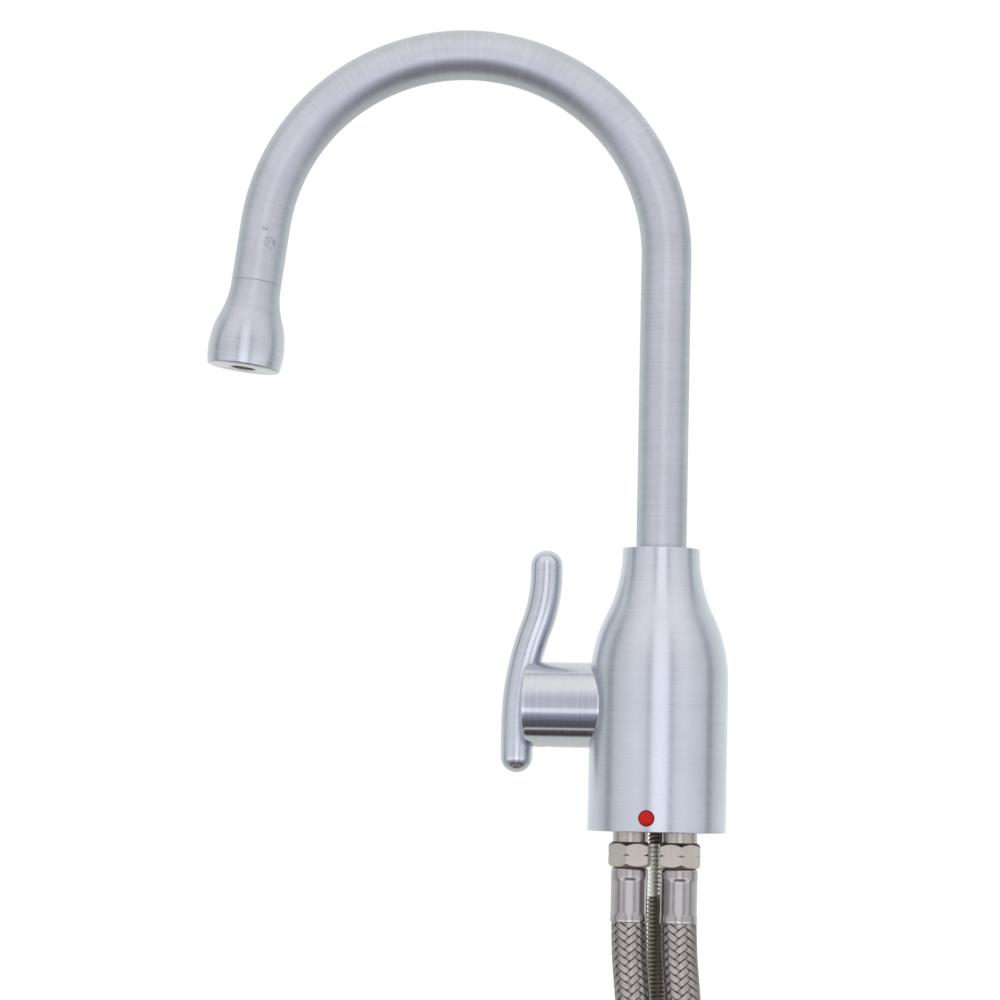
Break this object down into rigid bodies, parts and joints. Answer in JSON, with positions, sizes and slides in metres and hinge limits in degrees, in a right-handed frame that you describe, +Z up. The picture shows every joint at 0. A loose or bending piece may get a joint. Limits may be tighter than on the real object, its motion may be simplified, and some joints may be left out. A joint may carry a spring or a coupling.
{
  "type": "instant hot water tap",
  "caption": "Deck-mounted instant hot water tap with a bottle-shaped body, swivelling swan-neck spout, side lever, red hot indicator, threaded stud and braided hoses.",
  "frame": {"origin": "centre of the round base, on the face that sits on the worktop", "axes": "+Z up along the body's axis, -X towards the lever, -Y towards the red indicator and the user"},
  "size_m": [0.1805, 0.1403, 0.4534],
  "materials": {
    "brushed_nickel": "brushed nickel, fine lines round the axis",
    "satin_nickel": "satin nickel",
    "plated_brass": "matt nickel plate on brass",
    "polished_sleeve": "polished stainless steel",
    "steel_braid": "woven stainless wire over rubber",
    "plated_steel": "zinc plated steel",
    "bare_brass": "machined brass",
    "seal_rubber": "black rubber",
    "valve_ceramic": "lapped ceramic",
    "red_lens": "glossy red",
    "white_plastic": "moulded white plastic",
    "strap_plastic": "black moulded strap"
  },
  "bodies": {
    "body": {"tap_body": "brushed_nickel", "left_hose_tail": "plated_brass", "left_union_tail": "plated_brass", "right_hose_tail": "plated_brass", "right_union_tail": "plated_brass", "left_ferrule": "polished_sleeve", "left_end_ferrule": "polished_sleeve", "right_ferrule": "polished_sleeve", "right_end_ferrule": "polished_sleeve", "left_hose": "steel_braid", "left_hose_coil": "steel_braid", "right_hose": "steel_braid", "right_hose_coil": "steel_braid", "mounting_stud": "plated_steel", "spout_retaining_screw": "plated_steel", "cartridge_housing": "bare_brass", "base_seal": "seal_rubber", "cartridge_seat_seal": "seal_rubber", "cartridge_o_ring": "seal_rubber", "left_tail_seal": "seal_rubber", "left_union_washer": "seal_rubber", "right_tail_seal": "seal_rubber", "right_union_washer": "seal_rubber", "fixed_disc": "valve_ceramic", "hot_indicator": "red_lens", "spout_bearing": "white_plastic", "hose_tie": "strap_plastic"},
    "spout": {"spout_tube": "brushed_nickel", "spout_foot": "bare_brass", "lower_spout_seal": "seal_rubber", "upper_spout_seal": "seal_rubber", "spout_nozzle": "brushed_nickel", "nozzle_seal": "seal_rubber", "flow_straightener": "white_plastic"},
    "lever": {"lever_handle": "satin_nickel", "lever_grub_screw": "plated_steel", "valve_spindle": "bare_brass", "moving_disc": "valve_ceramic", "spindle_seal": "seal_rubber", "spindle_clip": "plated_steel"},
    "left_union": {"left_union_nut": "plated_brass"},
    "right_union": {"right_union_nut": "plated_brass"}
  },
  "joints": [
    {"name": "spout_swivel", "type": "hinge", "parent": "body", "child": "spout", "pos_m": [0, 0, 0.0898], "axis": [0, 0, 1], "continuous": true},
    {"name": "lever_turn", "type": "hinge", "parent": "body", "child": "lever", "pos_m": [0, 0, 0.0396], "axis": [1, 0, 0], "range_deg": [0, 90]},
    {"name": "left_union_spin", "type": "hinge", "parent": "body", "child": "left_union", "pos_m": [-0.0166, -0.003, -0.18], "axis": [0, 0, 1], "continuous": true},
    {"name": "right_union_spin", "type": "hinge", "parent": "body", "child": "right_union", "pos_m": [0.0252, -0.003, -0.18], "axis": [0, 0, 1], "continuous": true}
  ]
}
